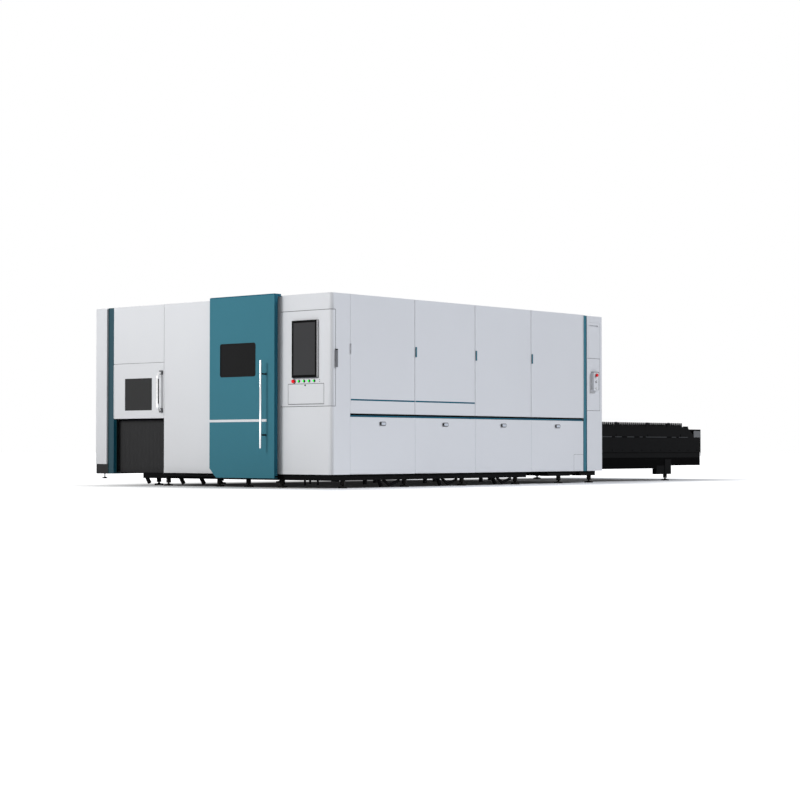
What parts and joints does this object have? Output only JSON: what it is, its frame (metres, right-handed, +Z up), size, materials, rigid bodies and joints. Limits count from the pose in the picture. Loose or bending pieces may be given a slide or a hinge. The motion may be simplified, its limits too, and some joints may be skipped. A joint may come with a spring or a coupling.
{
  "type": "enclosed fiber laser cutting machine with exchange table",
  "caption": "Fully enclosed flat-bed fiber laser cutting machine, white and teal, with a shuttle table behind.",
  "frame": {"origin": "on the floor, in the middle of the whole machine's outline", "axes": "+X to the right when facing the front doors, +Y back along the long side towards the exchange table, +Z up"},
  "size_m": [3.972, 8.033, 2.155],
  "materials": {
    "white_panel": "satin",
    "teal_paint": "satin",
    "black_frame": "satin",
    "dark_panel": "matte",
    "safety_pane": "gloss",
    "polished_bar": "polished",
    "bare_steel": "matte",
    "machine_grey": "satin",
    "cast_aluminium": "satin",
    "red_button": "gloss",
    "green_button": "gloss"
  },
  "bodies": {
    "machine": {"base_frame": "black_frame", "levelling_feet": "black_frame", "floor_pan": "machine_grey", "corner_column": "white_panel", "front_wall": "white_panel", "left_upper_panel": "white_panel", "recess_panel": "dark_panel", "left_strip": "teal_paint", "left_wall": "white_panel", "roof": "white_panel", "rear_header": "white_panel", "rear_left_panel": "white_panel", "side_strip": "teal_paint", "end_cabinet": "white_panel", "exchange_box": "white_panel", "side_belt": "black_frame", "side_frame": "machine_grey", "hinge_pins": "white_panel", "side_cabinet": "white_panel", "side_cabinet_base": "black_frame", "door_guides": "black_frame", "control_cabinet": "machine_grey", "bed_beam_right": "machine_grey", "bed_beam_left": "machine_grey", "gantry_rails": "bare_steel", "slag_tray": "bare_steel", "laser_source": "machine_grey", "drive_cabinet": "machine_grey", "exchange_frame": "black_frame", "end_plates": "machine_grey"},
    "sliding_door": {"sliding_door": "teal_paint", "sliding_door_window": "safety_pane", "sliding_door_bar": "polished_bar"},
    "hatch_door": {"hatch_door": "white_panel", "hatch_window": "safety_pane", "hatch_handle": "polished_bar"},
    "control_door": {"control_door": "white_panel", "control_screen": "black_frame"},
    "keyboard_tray": {"keyboard_tray": "white_panel"},
    "control_stop": {"control_stop": "red_button"},
    "exchange_stop": {"exchange_stop": "red_button"},
    "gantry": {"gantry": "machine_grey"},
    "carriage": {"carriage": "cast_aluminium"},
    "cutting_head": {"cutting_head": "cast_aluminium"},
    "upper_pallet": {"upper_pallet": "black_frame", "upper_slats": "bare_steel"},
    "lower_pallet": {"lower_pallet": "black_frame", "lower_slats": "bare_steel"},
    "push_button_1": {"push_button_1": "green_button"},
    "side_door_1": {"side_door_1": "white_panel"},
    "side_flap_1": {"side_flap_1": "white_panel"},
    "push_button_2": {"push_button_2": "green_button"},
    "side_door_2": {"side_door_2": "white_panel"},
    "side_flap_2": {"side_flap_2": "white_panel"},
    "push_button_3": {"push_button_3": "green_button"},
    "side_door_3": {"side_door_3": "white_panel"},
    "side_flap_3": {"side_flap_3": "white_panel"},
    "push_button_4": {"push_button_4": "green_button"},
    "side_door_4": {"side_door_4": "white_panel"},
    "side_flap_4": {"side_flap_4": "white_panel"}
  },
  "joints": [
    {"name": "sliding_door_slide", "type": "slide", "parent": "machine", "child": "sliding_door", "axis": [-1, 0, 0], "range_m": [0, 0.85]},
    {"name": "hatch_hinge", "type": "hinge", "parent": "machine", "child": "hatch_door", "pos_m": [-1.654, -3.8145, 0.793], "axis": [0, 0, -1], "range_deg": [0, 105]},
    {"name": "control_hinge", "type": "hinge", "parent": "machine", "child": "control_door", "pos_m": [1.164, -3.8145, 0.9], "axis": [0, 0, -1], "range_deg": [0, 75]},
    {"name": "tray_hinge", "type": "hinge", "parent": "control_door", "child": "keyboard_tray", "pos_m": [1.5465, -3.8105, 0.93], "axis": [1, 0, 0], "range_deg": [0, 90]},
    {"name": "control_stop_push", "type": "slide", "parent": "control_door", "child": "control_stop", "axis": [0, 1, 0], "range_m": [0, 0.008], "stiffness_N_per_m": 900},
    {"name": "push_button_1_push", "type": "slide", "parent": "control_door", "child": "push_button_1", "axis": [0, 1, 0], "range_m": [0, 0.003], "stiffness_N_per_m": 500},
    {"name": "push_button_2_push", "type": "slide", "parent": "control_door", "child": "push_button_2", "axis": [0, 1, 0], "range_m": [0, 0.003], "stiffness_N_per_m": 500},
    {"name": "push_button_3_push", "type": "slide", "parent": "control_door", "child": "push_button_3", "axis": [0, 1, 0], "range_m": [0, 0.003], "stiffness_N_per_m": 500},
    {"name": "push_button_4_push", "type": "slide", "parent": "control_door", "child": "push_button_4", "axis": [0, 1, 0], "range_m": [0, 0.003], "stiffness_N_per_m": 500},
    {"name": "exchange_stop_push", "type": "slide", "parent": "machine", "child": "exchange_stop", "axis": [-1, 0, 0], "range_m": [0, 0.008], "stiffness_N_per_m": 900},
    {"name": "side_door_1_hinge", "type": "hinge", "parent": "machine", "child": "side_door_1", "pos_m": [1.928, -2.4145, 0.82], "axis": [0, 0, 1], "range_deg": [0, 90]},
    {"name": "side_door_2_hinge", "type": "hinge", "parent": "machine", "child": "side_door_2", "pos_m": [1.928, -1.3145, 0.82], "axis": [0, 0, 1], "range_deg": [0, 90]},
    {"name": "side_door_3_hinge", "type": "hinge", "parent": "machine", "child": "side_door_3", "pos_m": [1.928, -0.2145, 0.82], "axis": [0, 0, 1], "range_deg": [0, 90]},
    {"name": "side_door_4_hinge", "type": "hinge", "parent": "machine", "child": "side_door_4", "pos_m": [1.928, 0.8855, 0.82], "axis": [0, 0, 1], "range_deg": [0, 90]},
    {"name": "side_flap_1_hinge", "type": "hinge", "parent": "machine", "child": "side_flap_1", "pos_m": [1.928, -2.9645, 0.155], "axis": [0, 1, 0], "range_deg": [0, 90]},
    {"name": "side_flap_2_hinge", "type": "hinge", "parent": "machine", "child": "side_flap_2", "pos_m": [1.928, -1.8645, 0.155], "axis": [0, 1, 0], "range_deg": [0, 90]},
    {"name": "side_flap_3_hinge", "type": "hinge", "parent": "machine", "child": "side_flap_3", "pos_m": [1.928, -0.7645, 0.155], "axis": [0, 1, 0], "range_deg": [0, 90]},
    {"name": "side_flap_4_hinge", "type": "hinge", "parent": "machine", "child": "side_flap_4", "pos_m": [1.928, 0.3355, 0.155], "axis": [0, 1, 0], "range_deg": [0, 90]},
    {"name": "gantry_travel", "type": "slide", "parent": "machine", "child": "gantry", "axis": [0, 1, 0], "range_m": [-0.7, 2.9]},
    {"name": "carriage_travel", "type": "slide", "parent": "gantry", "child": "carriage", "axis": [1, 0, 0], "range_m": [-0.72, 0.72]},
    {"name": "head_lift", "type": "slide", "parent": "carriage", "child": "cutting_head", "axis": [0, 0, -1], "range_m": [0, 0.115]},
    {"name": "upper_pallet_shuttle", "type": "slide", "parent": "machine", "child": "upper_pallet", "axis": [0, -1, 0], "range_m": [0, 3.6]},
    {"name": "lower_pallet_shuttle", "type": "slide", "parent": "machine", "child": "lower_pallet", "axis": [0, 1, 0], "range_m": [0, 3.6]}
  ],
  "couplings": [
    {"joint": "lower_pallet_shuttle", "follows": "upper_pallet_shuttle", "ratio": 1}
  ]
}
